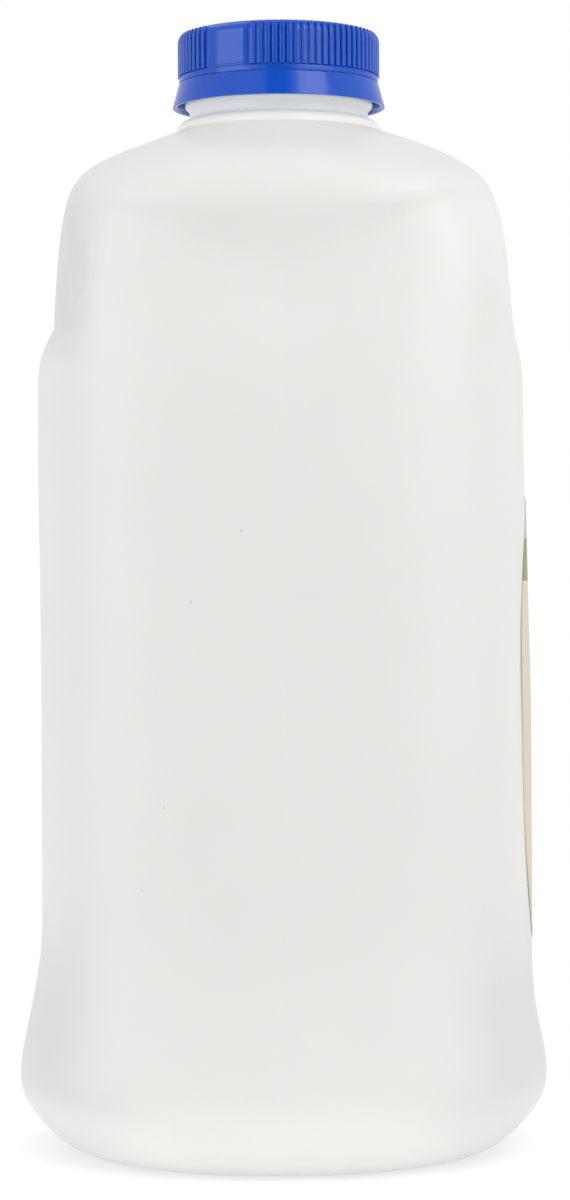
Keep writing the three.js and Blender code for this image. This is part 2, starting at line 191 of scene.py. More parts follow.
# Label: a rounded patch on the +X panel
LABEL_HALF_WIDTH = 32
LABEL_HALF_HEIGHT = 46
LABEL_CENTRE = (-1.5, 88)
LABEL_SQUARENESS = 2.8
LABEL_LIFT = (0.02, 0.27)
LABEL_EDGE_SHARE = 0.004  # the outer face is smaller by this share
PANEL_TURN = 1.2  # the panel lies within this angle, in radians, of +X
NORMAL_TURN = 0.01  # steps along the wall that give the direction it faces
NORMAL_RISE = 0.1

# Fineness
COLUMN_CENTRE = -12  # depth of the upright line that the wall's columns are spread round
RAY_REACH = 90.0
HALVINGS = 40
BODY_COLUMNS = 192
HEEL_ROWS = 26
WALL_ROWS = 64
LEDGE_ROWS = 28
RECESS_ROWS = 26
DOME_ROWS = 36
BASE_ROWS = 24
HANDLE_COLUMNS = 56
HANDLE_RINGS = 96
TURNED_COLUMNS = 360
LABEL_RINGS = 24
LABEL_COLUMNS = 120
SEAM_COLUMNS = (-0.9, -0.55, -0.3, -0.12, 0.12, 0.3, 0.55, 0.9)  # close columns, as distances from the seam
SPLINE_STEPS = 41
CAP_EDGE_ROWS = 12
SKIRT_ROWS = 28
RIB_STOPS = 24
RIB_ROUNDING_STEPS = 3
CORNER_CUT = 0.25  # share of each side cut off at both its ends to round an open outline
CORNER_ROUNDS = 3
LOOP_CUT = 0.2  # and a closed one
LOOP_ROUNDS = 2


def mix(a, b, share):
    return a + (b - a) * share


def full_turn(count):
    """Even angles round a full turn."""
    return np.arange(count) * 2 * math.pi / count


def smooth_step(span, value):
    share = np.clip((value - span[0]) / (span[1] - span[0]), 0, 1)
    return share * share * (3 - 2 * share)


def curve(points):
    """Smooth curve through pairs that never overshoots them."""
    x, y = np.array(points, float).T
    step = np.diff(x)
    rise = np.diff(y) / step
    slope = np.concatenate(([rise[0]], np.zeros(len(x) - 2), [rise[-1]]))
    for i in range(1, len(x) - 1):
        if rise[i - 1] * rise[i] > 0:
            near_after = 2 * step[i] + step[i - 1]
            near_before = step[i] + 2 * step[i - 1]
            slope[i] = (near_after + near_before) / (near_after / rise[i - 1] + near_before / rise[i])

    def value(at):
        at = np.clip(at, x[0], x[-1])
        i = np.clip(np.searchsorted(x, at) - 1, 0, len(step) - 1)
        t = (at - x[i]) / step[i]
        leave = t * (1 - t) ** 2 * step[i] * slope[i]
        arrive = t * t * (t - 1) * step[i] * slope[i + 1]
        return mix(y[i], y[i + 1], t * t * (3 - 2 * t)) + leave + arrive

    return value


upper_left = curve(UPPER_LEFT)
upper_right = curve(UPPER_RIGHT)
front_depth = curve(FRONT)
throat_depth = curve(THROAT)
upper_middle = curve(UPPER_MIDDLE)
lower_squareness = curve(LOWER_SQUARENESS)
upper_squareness = curve(UPPER_SQUARENESS)
ledge_rise = curve(LEDGE_RISE)
pocket_left = curve(POCKET_LEFT)
pocket_right = curve(POCKET_RIGHT)
base_hollow = curve(BASE_HOLLOW)


def square_radius(c, s, half_width, half_depth, squareness):
    wide = np.abs(c / half_width) ** squareness
    deep = np.abs(s / half_depth) ** squareness
    return (wide + deep) ** (-1 / squareness)


def measure(x, y, left, right, front, back, middle, front_square, back_square):
    """Less than 1 inside a rounded section, 1 on its outline and more outside."""
    half_width = np.where(x > 0, right, left)
    half_depth = np.where(y > middle, back - middle, front + middle)
    square = np.where(y > middle, back_square, front_square)
    return np.abs(x / half_width) ** square + np.abs((y - middle) / half_depth) ** square


def ray_out(angle, *section):
    """Points where level rays from the columns' centre leave a section."""
    c = np.cos(angle)
    s = np.sin(angle)
    low = np.zeros_like(angle)
    high = np.full_like(angle, RAY_REACH)
    for _ in range(HALVINGS):
        reach = (low + high) / 2
        inside = measure(reach * c, COLUMN_CENTRE + reach * s, *section) < 1
        low = np.where(inside, reach, low)
        high = np.where(inside, high, reach)
    return low * c, COLUMN_CENTRE + low * s


def foot_offset(z):
    """How far the wall stands out beyond the panel: the flared foot less the rounded heel."""
    low = np.clip(1 - z / HEEL_HEIGHT, 0, 1)
    heel = HEEL_WIDTH * (1 - np.sqrt(1 - low * low))
    return FLARE * (1 - smooth_step(FLARE_SPAN, z)) - heel


def lower_point(angle, z):
    foot = foot_offset(z)
    side = PANEL_HALF_WIDTH + SHOULDER_SWELL * smooth_step(SWELL_SPAN, z) + foot
    bulge = BULGE * smooth_step(BULGE_BOTTOM, z) * (1 - smooth_step(BULGE_TOP, z))
    front = front_depth(z) + foot
    back = PANEL_HALF_DEPTH + foot
    square = lower_squareness(z)
    return ray_out(angle, side, side + bulge, front, back, 0, square, square)


def upper_point(angle, z):
    left = np.where(np.cos(angle) < 0, LEFT_SOFTENING, 0)
    square = upper_squareness(z) - left * (1 - smooth_step(LEFT_SOFTENING_FADE, z))
    back_square = np.minimum(square, THROAT_SQUARENESS)
    return ray_out(angle, upper_left(z), upper_right(z), front_depth(z), throat_depth(z), upper_middle(z),
                   square, back_square)


def neck_point(angle, radius):
    return ray_out(angle, radius, radius, radius, radius, 0, 2, 2)


def depth_round(angle):
    """How far back the wall is at each angle, from -1 at the front to 1 at the back."""
    half_width = PANEL_HALF_WIDTH
    half_depth = PANEL_HALF_DEPTH
    square = REFERENCE_SQUARENESS
    return ray_out(angle, half_width, half_width, half_depth, half_depth, 0, square, square)[1] / half_depth


def ledge_corner(angle):
    """Height of the ledge's inner corner."""
    along = np.clip((1 + depth_round(angle)) / 2, 0, 1)
    return mix(LEDGE_FRONT, LEDGE_BACK, along ** LEDGE_FALL)


def side_pocket(angle, z, lower_share):
    """How much deeper the side recess is just over the ledge."""
    depth = depth_round(angle)
    hollow = np.where(np.cos(angle) > 0, pocket_right(depth), pocket_left(depth))
    over = np.maximum(0, z - ledge_corner(angle))
    return hollow * (1 - lower_share) * np.exp(-((over / POCKET_REACH) ** 2))


def brow_dip(x, y, z):
    """Depth of the dip, deepest along a V whose point is on the seam."""
    across = np.maximum(0, 1 - (x / DIP_HALF_WIDTH) ** DIP_SQUARENESS)
    arm = (np.hypot(x, DIP_POINT_WIDTH) - DIP_POINT_WIDTH) / (DIP_HALF_WIDTH - DIP_POINT_WIDTH)
    deepest = DIP_POINT + np.where(x > 0, DIP_RIGHT_RISE, DIP_LEFT_RISE) * arm
    reach_up = np.maximum(DIP_EDGE, (DIP_TOP - deepest) * DIP_UP_SHARE)
    reach = np.where(z > deepest, reach_up, DIP_REACH_DOWN)
    return DIP * (1 - smooth_step(DIP_FADE, y)) * across * np.exp(-(((z - deepest) / reach) ** 2))


def mould_relief(x, y, z):
    """Height of the parting seam, of the line round the foot and of the wall's slight waviness."""
    seam = SEAM_HEIGHT * np.exp(-((x / SEAM_WIDTH) ** 2))
    foot_line = FOOT_LINE_HEIGHT * np.exp(-(((z - FOOT_LINE) / FOOT_LINE_WIDTH) ** 2))
    broad = np.sin(x / BROAD_WAVE[0] + z / BROAD_WAVE[1]) * np.sin(z / BROAD_WAVE[2] - y / BROAD_WAVE[3])
    fine = np.sin(x / FINE_WAVE[0] - z / FINE_WAVE[1] + y / FINE_WAVE[2])
    fade = smooth_step(WAVE_BOTTOM, z) * (1 - smooth_step(WAVE_TOP, z))
    return np.maximum(seam, foot_line) + WAVE_DEPTH * (broad + FINE_WAVE_SHARE * fine) * fade


def wall_ring(angle, z, lower_share):
    """Ring of wall points mixed from the lower and the upper body, with the mould's relief on it."""
    z = np.broadcast_to(z, angle.shape)
    lower = lower_point(angle, z)
    upper = upper_point(angle, z)
    x = mix(upper[0], lower[0], lower_share)
    y = mix(upper[1], lower[1], lower_share)
    y = y + brow_dip(x, y, z)
    pocket = side_pocket(angle, z, lower_share)
    x = x - pocket * np.cos(angle)
    y = y - pocket * np.sin(angle)
    reach = np.hypot(x, y)
    stretch = 1 + mould_relief(x, y, z) / reach
    return np.column_stack([x * stretch, y * stretch, z])


def body_angles():
    """Even columns from the front round, with close ones on the parting seam at the front and the back."""
    close = np.array(SEAM_COLUMNS)
    front = close / (PANEL_HALF_DEPTH + COLUMN_CENTRE)
    back = close / (PANEL_HALF_DEPTH - COLUMN_CENTRE)
    angles = np.concatenate([full_turn(BODY_COLUMNS), front % (2 * math.pi), back + math.pi])
    return np.sort(angles) - math.pi / 2


def shares(count):
    return np.arange(count) / count


def body_rings():
    angle = body_angles()
    outline = lower_point(angle, np.zeros_like(angle))
    rings = []
    for share in (np.arange(BASE_ROWS) + 1) / BASE_ROWS * BASE_REACH:
        x = outline[0] * share
        y = outline[1] * share
        hollow = base_hollow(share)
        pinch = PINCH_HEIGHT * np.exp(-((x / SEAM_WIDTH) ** 2)) * smooth_step(PINCH_FADE, share)
        rings.append(np.column_stack([x, y, np.full_like(x, hollow) - pinch]))
    for share in shares(HEEL_ROWS):
        rings.append(wall_ring(angle, HEEL_HEIGHT * (1 - math.cos(share * math.pi / 2)), 1))
    corner = ledge_corner(angle)
    edge = corner - ledge_rise(depth_round(angle))
    for share in shares(WALL_ROWS):
        rings.append(wall_ring(angle, mix(HEEL_HEIGHT, edge, share), 1))
    for share in shares(LEDGE_ROWS):
        rings.append(wall_ring(angle, mix(edge, corner, share), 1 - share ** LEDGE_CREASE))
    for share in shares(RECESS_ROWS):
        rings.append(wall_ring(angle, mix(corner, DOME_FROM, share), 0))
    for share in shares(DOME_ROWS):
        rings.append(wall_ring(angle, mix(DOME_FROM, COLLAR_FOOT, math.sin(share * math.pi / 2)), 0))
    for radius, z in rounded(NECK_PROFILE):
        rings.append(np.column_stack([*neck_point(angle, radius), np.full_like(angle, z)]))
    return rings


def rounded(profile):
    """The outline with its corners cut again and again, which rounds them; its ends stay."""
    points = np.array(profile, float)
    for _ in range(CORNER_ROUNDS):
        before = mix(points[:-1], points[1:], CORNER_CUT)
        after = mix(points[:-1], points[1:], 1 - CORNER_CUT)
        inner = np.stack([before, after], axis=1).reshape(-1, points.shape[1])
        points = np.vstack([points[:1], inner[1:-1], points[-1:]])
    return points


def rounded_loop(profile):
    """The same for a closed outline."""
    points = np.array(profile, float)
    for _ in range(LOOP_ROUNDS):
        following = np.roll(points, -1, axis=0)
        before = mix(points, following, LOOP_CUT)
        after = mix(points, following, 1 - LOOP_CUT)
        points = np.stack([before, after], axis=1).reshape(-1, 2)
    return points


def strip_faces(rows, columns, first=0, closed=False):
    """Quads between rows of points that run round, and back to the first row where closed."""
    faces = []
    for i in range(rows if closed else rows - 1):
        low = first + i * columns
        high = first + (i + 1) % rows * columns
        for j in range(columns):
            k = (j + 1) % columns
            faces.append((low + j, low + k, high + k, high + j))
    return faces


def mesh_of(name, points, faces):
    mesh = bpy.data.meshes.new(name)
    mesh.from_pydata((np.array(points) * MM).tolist(), [], faces)
    mesh.shade_smooth()
    mesh.update()
    return mesh


def skin(name, rings, start, end):
    """Closed mesh over rings of points, with a pole at each end."""
    columns = len(rings[0])
    last = 1 + len(rings) * columns
    faces = strip_faces(len(rings), columns, first=1)
    for j in range(columns):
        k = (j + 1) % columns
        faces.append((0, 1 + k, 1 + j))
        faces.append((last - columns + j, last - columns + k, last))
    return mesh_of(name, np.vstack([[start], *rings, [end]]), faces)


def add_object(name, mesh):
    piece = bpy.data.objects.new(name, mesh)
    bpy.context.scene.collection.objects.link(piece)
    return piece


def spline(points, count):
    """Points evenly along a smooth curve through the given ones, and the directions there."""
    knots = np.array(points, float)
    knots = np.vstack([2 * knots[0] - knots[1], knots, 2 * knots[-1] - knots[-2]])
    fine = []
    t = np.linspace(0, 1, SPLINE_STEPS)[:, None]
    for p0, p1, p2, p3 in zip(knots, knots[1:], knots[2:], knots[3:]):
        d0, d1, d2 = (np.linalg.norm(b - a) ** 0.5 for a, b in ((p0, p1), (p1, p2), (p2, p3)))
        leave = ((p1 - p0) / d0 - (p2 - p0) / (d0 + d1) + (p2 - p1) / d1) * d1
        arrive = ((p2 - p1) / d1 - (p3 - p1) / (d1 + d2) + (p3 - p2) / d2) * d1
        ease = t * t * (3 - 2 * t)
        fine.append(mix(p1, p2, ease) + t * (1 - t) ** 2 * leave + t * t * (t - 1) * arrive)
    fine = np.vstack(fine)
    lengths = np.concatenate([[0], np.cumsum(np.linalg.norm(np.diff(fine, axis=0), axis=1))])
    even = np.linspace(0, lengths[-1], count)
    places = np.column_stack([np.interp(even, lengths, fine[:, i]) for i in range(2)])
    headings = np.gradient(places, axis=0)
    return places, headings / np.linalg.norm(headings, axis=1)[:, None]


def handle_mesh():
    """Oval rings along the centre line, which spread sideways and inwards towards both roots."""
    places, headings = spline(HANDLE_LINE, HANDLE_RINGS)
    angle = full_turn(HANDLE_COLUMNS) - math.pi / 2
    rings = []
    for i, (place, heading) in enumerate(zip(places, headings)):
        along = i / (HANDLE_RINGS - 1)
        root = max(0, 1 - min(along, 1 - along) / HANDLE_FLARE_SHARE)
        flare = HANDLE_FLARE * root * root
        across = (HANDLE_HALF_WIDTH + flare) * np.cos(angle)
        deep = (HANDLE_HALF_DEPTH + flare) * np.sin(angle) - flare
        rings.append(np.column_stack([across, place[0] + heading[1] * deep, place[1] - heading[0] * deep]))
    return skin("handle", rings, (0, *places[0]), (0, *places[-1]))


def melt_roots(mesh):
    """Runs the handle's roots into the wall: the points near the joint line are smoothed."""
    faces_of_edge = {}
    for face in mesh.polygons:
        for edge in face.edge_keys:
            faces_of_edge.setdefault(edge, set()).add(face.material_index)
    joint = {v for edge, kinds in faces_of_edge.items() if len(kinds) > 1 for v in edge}
    tree = KDTree(len(joint))
    for v in joint:
        tree.insert(mesh.vertices[v].co, v)
    tree.balance()
    points = np.empty(len(mesh.vertices) * 3)
    mesh.vertices.foreach_get("co", points)
    points = points.reshape(-1, 3)
    gap = np.array([tree.find(Vector(point))[2] for point in points]) / MM
    weight = (1 - smooth_step((0, ROOT_BLEND), gap))[:, None]
    edges = np.array(list(faces_of_edge))
    ends = np.concatenate([edges, edges[:, ::-1]])
    count = np.bincount(ends[:, 0], minlength=len(points))[:, None]
    for _ in range(ROOT_BLEND_ROUNDS):
        total = np.zeros_like(points)
        np.add.at(total, ends[:, 0], points[ends[:, 1]])
        points = mix(points, total / count, ROOT_BLEND_STEP * weight)
    mesh.vertices.foreach_set("co", points.ravel())
    mesh.polygons.foreach_set("material_index", np.zeros(len(mesh.polygons), int))
    mesh.materials.clear()
    mesh.update()


def evaluated_mesh(piece, name):
    """Plain mesh of an object as its modifiers make it, which are then removed."""
    graph = bpy.context.evaluated_depsgraph_get()
    mesh = bpy.data.meshes.new_from_object(piece.evaluated_get(graph), depsgraph=graph)
    mesh.name = name
    piece.modifiers.clear()
    return mesh


def jug_piece(material):
    """Wall and handle in one closed skin."""
    rings = body_rings()
    top = NECK_PROFILE[-1][1]
    jug = add_object("jug_shell", skin("wall", rings, (0, 0, rings[0][:, 2].mean()), (0, 0, top)))
    handle = add_object("handle", handle_mesh())
    for piece in (jug, handle):
        piece.data.materials.append(bpy.data.materials.new(piece.name))
    union = jug.modifiers.new("handle", "BOOLEAN")
    union.operation = "UNION"
    union.solver = "EXACT"
    union.material_mode = "TRANSFER"
    union.object = handle
    jug.data = evaluated_mesh(jug, "jug_shell")
    bpy.data.objects.remove(handle)
    melt_roots(jug.data)
    jug.data.materials.append(material)
    jug.data.shade_smooth()
    return jug


def turned_rings(profile, crest=None):
    """Rings about the Z axis; crest maps angles and heights to how far the skirt stands out there."""
    angle = full_turn(TURNED_COLUMNS) - math.pi / 2
    rings = []
    for radius, z in profile:
        reach = radius + (crest(angle, z) if crest else 0)
        rings.append(np.column_stack([reach * np.cos(angle), reach * np.sin(angle), np.full_like(angle, z)]))
    return rings


def plain_pad(angle, z):
    """The stretch of the skirt without ribs stands out as far as the ribs do."""
    degrees = np.degrees(angle) % 360
    within = smooth_step((PLAIN_FROM_DEG - PAD_EDGE_DEG, PLAIN_FROM_DEG), degrees)
    within = within * (1 - smooth_step((PLAIN_TO_DEG, PLAIN_TO_DEG + PAD_EDGE_DEG), degrees))
    level = smooth_step((RIB_BOTTOM - PAD_FOOT, RIB_BOTTOM + PAD_FOOT), z)
    level = level * (1 - smooth_step((RIB_TOP - PAD_HEAD, RIB_TOP), z))
    return (RIB_CREST_RADIUS - RIB_ROOT_RADIUS) * within * level


def cap_shell():
    """Skirt, rounded edge and slightly dished top, with a bore open below."""
    turn = np.linspace(0, math.pi / 2, CAP_EDGE_ROWS)
    edge_radius = RIB_ROOT_RADIUS - CAP_EDGE_RADIUS * (1 - np.cos(turn))
    edge_height = CAP_TOP - CAP_EDGE_RADIUS * (1 - np.sin(turn))
    skirt_height = np.linspace(RIB_BOTTOM, CAP_TOP - CAP_EDGE_RADIUS, SKIRT_ROWS)[:-1]
    skirt = [(RIB_ROOT_RADIUS, z) for z in skirt_height]
    hem = rounded([
        (CAP_BORE_RADIUS, CAP_HEM_BOTTOM),
        (CAP_HEM_RADIUS - CAP_HEM_ROUNDING, CAP_HEM_BOTTOM),
        (CAP_HEM_RADIUS, CAP_HEM_BOTTOM + CAP_HEM_ROUNDING),
        (CAP_HEM_RADIUS, RIB_BOTTOM - CAP_HEM_STEP),
    ])
    dish = [(CAP_DISH_RADIUS, CAP_TOP), (CAP_DISH_RADIUS - CAP_DISH_SLOPE, CAP_TOP - CAP_DISH)]
    profile = [(CAP_BORE_RADIUS, CAP_BORE_TOP), *hem, *skirt, *zip(edge_radius, edge_height), *rounded(dish)]
    rings = turned_rings(profile, plain_pad)
    return skin("cap_shell", rings, (0, 0, CAP_BORE_TOP), (0, 0, CAP_TOP - CAP_DISH))


def add(tree, kind, inputs=None, **settings):
    """Adds a node with its settings; inputs gives sockets a value, or another node's output."""
    node = tree.nodes.new(kind)
    for name, value in settings.items():
        setattr(node, name, value)
    for socket, value in (inputs or {}).items():
        if isinstance(value, bpy.types.Node):
            value = value.outputs[0]
        if isinstance(value, bpy.types.NodeSocket):
            tree.links.new(value, node.inputs[socket])
        else:
            node.inputs[socket].default_value = value
    return node


def shape_tree(name, sizes):
    """Empty node tree for shapes with a mesh, a material and named sizes as inputs."""
    tree = bpy.data.node_groups.new(name, "GeometryNodeTree")
    tree.interface.new_socket("Geometry", in_out="INPUT", socket_type="NodeSocketGeometry")
    tree.interface.new_socket("Material", in_out="INPUT", socket_type="NodeSocketMaterial")
    for size, value in sizes.items():
        kind = "NodeSocketInt" if isinstance(value, int) else "NodeSocketFloat"
        tree.interface.new_socket(size, in_out="INPUT", socket_type=kind)
    tree.interface.new_socket("Geometry", in_out="OUTPUT", socket_type="NodeSocketGeometry")
    return tree, add(tree, "NodeGroupInput").outputs


def shaped(piece, tree, material, sizes):
    """The piece's mesh as the tree makes it from these sizes."""
    modifier = piece.modifiers.new(tree.name, "NODES")
    modifier.node_group = tree
    for item in tree.interface.items_tree:
        if item.in_out == "INPUT" and item.name in sizes:
            modifier[item.identifier] = sizes[item.name]
        if item.in_out == "INPUT" and item.name == "Material":
            modifier[item.identifier] = material
    piece.data = evaluated_mesh(piece, piece.name)
    return piece


def finish_tree(tree, given, extra):
    """Joins the repeated shapes to the given mesh, makes them real and sets the material."""
    joined = add(tree, "GeometryNodeJoinGeometry")
    tree.links.new(given["Geometry"], joined.inputs[0])
    tree.links.new(extra, joined.inputs[0])
    real = add(tree, "GeometryNodeRealizeInstances", {0: joined})
    painted = add(tree, "GeometryNodeSetMaterial", {"Geometry": real, "Material": given["Material"]})
    smooth = add(tree, "GeometryNodeSetShadeSmooth", {"Geometry": painted, "Shade Smooth": True})
    add(tree, "NodeGroupOutput", {0: smooth})


def placed_round(tree, count, radius, height, shape, keep_out=None):
    """Instances of a shape round the Z axis, turned outwards, without those in the kept-out stretch."""
    ring = add(tree, "GeometryNodeMeshCircle", {"Vertices": count, "Radius": radius})
    lifted = add(tree, "ShaderNodeCombineXYZ", {"Z": height})
    points = add(tree, "GeometryNodeTransform", {"Geometry": ring, "Translation": lifted})
    place = add(tree, "ShaderNodeSeparateXYZ", {0: add(tree, "GeometryNodeInputPosition")})
    turn = add(tree, "ShaderNodeMath", {0: place.outputs["Y"], 1: place.outputs["X"]}, operation="ARCTAN2")
    if keep_out:
        round_turn = add(tree, "ShaderNodeMath", {0: turn, 1: 2 * math.pi, 2: 0}, operation="WRAP")
        after = add(tree, "ShaderNodeMath", {0: round_turn, 1: keep_out[0]}, operation="GREATER_THAN")
        before = add(tree, "ShaderNodeMath", {0: round_turn, 1: keep_out[1]}, operation="LESS_THAN")
        plain = add(tree, "ShaderNodeMath", {0: after, 1: before}, operation="MULTIPLY")
        points = add(tree, "GeometryNodeDeleteGeometry", {"Geometry": points, "Selection": plain})
    euler = add(tree, "ShaderNodeCombineXYZ", {"Z": turn})
    rotation = add(tree, "FunctionNodeEulerToRotation", {0: euler})
    sockets = {"Points": points, "Instance": shape, "Rotation": rotation}
    return add(tree, "GeometryNodeInstanceOnPoints", sockets).outputs[0]


def cap_piece(material):
    """Cap shell with upright ribs round its skirt, each a rounded bar that bends in over the cap's edge."""
    sizes = {
        "Rib Count": RIB_COUNT,
        "Ring Radius": (RIB_ROOT_RADIUS + RIB_CREST_RADIUS - RIB_SINK) / 2 * MM,
        "Rib Depth": (RIB_CREST_RADIUS - RIB_ROOT_RADIUS + RIB_SINK) * MM,
        "Rib Width": RIB_WIDTH * MM,
        "Rib Rounding": RIB_ROUNDING * MM,
        "Rib Bottom": RIB_BOTTOM * MM,
        "Rib Height": (RIB_TOP - RIB_BOTTOM) * MM,
        "Straight Height": (CAP_TOP - CAP_EDGE_RADIUS - RIB_BOTTOM) * MM,
        "Edge Radius": CAP_EDGE_RADIUS * MM,
        "Plain From": math.radians(PLAIN_FROM_DEG - PAD_EDGE_DEG),
        "Plain To": math.radians(PLAIN_TO_DEG + PAD_EDGE_DEG),
    }
    tree, given = shape_tree("cap_ribs", sizes)
    top = add(tree, "ShaderNodeCombineXYZ", {"Z": given["Rib Height"]})
    line = add(tree, "GeometryNodeCurvePrimitiveLine", {"End": top})
    stops = add(tree, "GeometryNodeResampleCurve", {"Curve": line, "Count": RIB_STOPS})
    level = add(tree, "ShaderNodeSeparateXYZ", {0: add(tree, "GeometryNodeInputPosition")}).outputs["Z"]
    rise = add(tree, "ShaderNodeMath", {0: level, 1: given["Straight Height"]}, operation="SUBTRACT")
    over = add(tree, "ShaderNodeMath", {0: rise, 1: 0}, operation="MAXIMUM")
    over_square = add(tree, "ShaderNodeMath", {0: over, 1: over}, operation="MULTIPLY")
    edge_square = add(tree, "ShaderNodeMath", {0: given["Edge Radius"], 1: 2}, operation="POWER")
    left_square = add(tree, "ShaderNodeMath", {0: edge_square, 1: over_square}, operation="SUBTRACT")
    left = add(tree, "ShaderNodeMath", {0: left_square}, operation="SQRT")
    inward = add(tree, "ShaderNodeMath", {0: left, 1: given["Edge Radius"]}, operation="SUBTRACT")
    bend = add(tree, "ShaderNodeCombineXYZ", {"X": inward})
    bent = add(tree, "GeometryNodeSetPosition", {"Geometry": stops, "Offset": bend})
    along = add(tree, "GeometryNodeSplineParameter")
    centred = add(tree, "ShaderNodeMath", {0: along.outputs["Factor"], 1: 0.5}, operation="SUBTRACT")
    distance = add(tree, "ShaderNodeMath", {0: centred}, operation="ABSOLUTE")
    ends = {"From Min": RIB_END_FROM, "From Max": 0.5, "To Min": 1.0, "To Max": RIB_END_SHARE}
    taper = add(tree, "ShaderNodeMapRange", {"Value": distance, **ends})
    bar_line = add(tree, "GeometryNodeSetCurveRadius", {"Curve": bent, "Radius": taper})
    plan = add(tree, "GeometryNodeCurvePrimitiveQuadrilateral",
               {"Width": given["Rib Depth"], "Height": given["Rib Width"]})
    corners = {"Count": RIB_ROUNDING_STEPS, "Radius": given["Rib Rounding"], "Limit Radius": True}
    soft_plan = add(tree, "GeometryNodeFilletCurve", {"Curve": plan, **corners}, mode="POLY")
    sweep = {"Curve": bar_line, "Profile Curve": soft_plan, "Fill Caps": True}
    bar = add(tree, "GeometryNodeCurveToMesh", sweep)
    ribs = placed_round(tree, given["Rib Count"], given["Ring Radius"], given["Rib Bottom"], bar.outputs[0],
                        (given["Plain From"], given["Plain To"]))
    finish_tree(tree, given, ribs)
    return shaped(add_object("ribbed_cap", cap_shell()), tree, material, sizes)


def band_piece(material):
    """Turned band with the row of little bridges that tie it to the cap's hem."""
    rings = turned_rings(rounded_loop(BAND_PROFILE[::-1]))
    faces = strip_faces(len(rings), TURNED_COLUMNS, closed=True)
    band = add_object("tamper_ring", mesh_of("tamper_ring", np.vstack(rings), faces))
    sizes = {
        "Bridge Count": BRIDGE_COUNT,
        "Ring Radius": BRIDGE_RADIUS * MM,
        "Bridge Middle": BRIDGE_MIDDLE * MM,
        "Bridge Depth": BRIDGE_SIZE[0] * MM,
        "Bridge Width": BRIDGE_SIZE[1] * MM,
        "Bridge Height": BRIDGE_SIZE[2] * MM,
    }
    tree, given = shape_tree("band_bridges", sizes)
    extent = {"X": given["Bridge Depth"], "Y": given["Bridge Width"], "Z": given["Bridge Height"]}
    block = add(tree, "GeometryNodeMeshCube", {"Size": add(tree, "ShaderNodeCombineXYZ", extent)})
    bridges = placed_round(tree, given["Bridge Count"], given["Ring Radius"], given["Bridge Middle"],
                           block.outputs[0])
    finish_tree(tree, given, bridges)
    return shaped(band, tree, material, sizes)


def panel_points(y, z, lift):
    """Points on the +X wall at depths and heights, pushed out along the wall's own direction."""
    low = np.full_like(y, -PANEL_TURN)
    high = np.full_like(y, PANEL_TURN)
    for _ in range(HALVINGS):
        angle = (low + high) / 2
        short = lower_point(angle, z)[1] < y
        low = np.where(short, angle, low)
        high = np.where(short, high, angle)

    def wall(turn, height):
        return np.column_stack([*lower_point(turn, height), height])

    here = wall(low, z)
    normal = np.cross(wall(low + NORMAL_TURN, z) - here, wall(low, z + NORMAL_RISE) - here)
    return here + lift * normal / np.linalg.norm(normal, axis=1)[:, None]


def label_piece(material):
    """Thin film that follows the bulged panel, with a rounded outline."""
    angle = full_turn(LABEL_COLUMNS)
    reach = square_radius(np.cos(angle), np.sin(angle), LABEL_HALF_WIDTH, LABEL_HALF_HEIGHT, LABEL_SQUARENESS)
    spread = (np.arange(LABEL_RINGS) + 1) / LABEL_RINGS

    def ring(share, lift):
        y = LABEL_CENTRE[0] + share * reach * np.cos(angle)
        z = LABEL_CENTRE[1] + share * reach * np.sin(angle)
        return panel_points(y, z, lift)

    centre = np.array([[LABEL_CENTRE[0]], [LABEL_CENTRE[1]]])
    back = panel_points(centre[0], centre[1], LABEL_LIFT[0])[0]
    front = panel_points(centre[0], centre[1], LABEL_LIFT[1])[0]
    inner = [ring(share, LABEL_LIFT[0]) for share in spread]
    outer = [ring(share, LABEL_LIFT[1]) for share in spread[::-1] - LABEL_EDGE_SHARE]
    label = add_object("label_film", skin("label_film", [*inner, *outer], back, front))
    label.data.materials.append(material)
    return label


def linear(hex_colour):
    """Linear RGBA of an sRGB hex value."""
    channels = [int(hex_colour[i:i + 2], 16) / 255 for i in (1, 3, 5)]
    return [c / 12.92 if c <= 0.04045 else ((c + 0.055) / 1.055) ** 2.4 for c in channels] + [1]


def new_material(name):
    material = bpy.data.materials.new(name)
    material.use_nodes = True
    tree = material.node_tree
    tree.nodes.clear()
    return material, tree


def scale_for(size_mm):
    """Noise scale whose features are about this many millimetres across."""
    return 1 / (size_mm * MM)


# Heights, in metres, over which the wall is painted lighter and a touch warmer towards the collar, painted
# light that offsets the cap's shadow there, and then turns greyer at the neck
COLLAR_PAINTED_LIGHT = (0.197, 0.2045)
NECK_TINT = (0.2108, 0.2115)
NECK_SHINE = 0.15  # light from behind that shows through the thin empty neck

# Painted shade: the wall's colour is greyer at the foot's corners and in the left hand recess, where shade
# falls, in metres
PAINTED_SHADE_FOOT_HEIGHT = (0.06, 0.03)
PAINTED_SHADE_FOOT_SIDE = (0.022, 0.05)
PAINTED_SHADE_RECESS_SIDE = (-0.034, -0.042)
PAINTED_SHADE_RECESS_BOTTOM = (0.155, 0.168)
PAINTED_SHADE_RECESS_TOP = (0.2, 0.188)

# Tiny dark specks on the front: places on the wall as x and height, and their radius
SPECKS = [(-7.5, 125.4, 0.3), (-17.4, 111.8, 0.3), (-22.7, 72.3, 0.3), (-27, 56.3, 0.25)]
SPECK_CORE = 0.4  # share of the radius within which a speck is darkest
SPECK_DARKNESS = 0.4


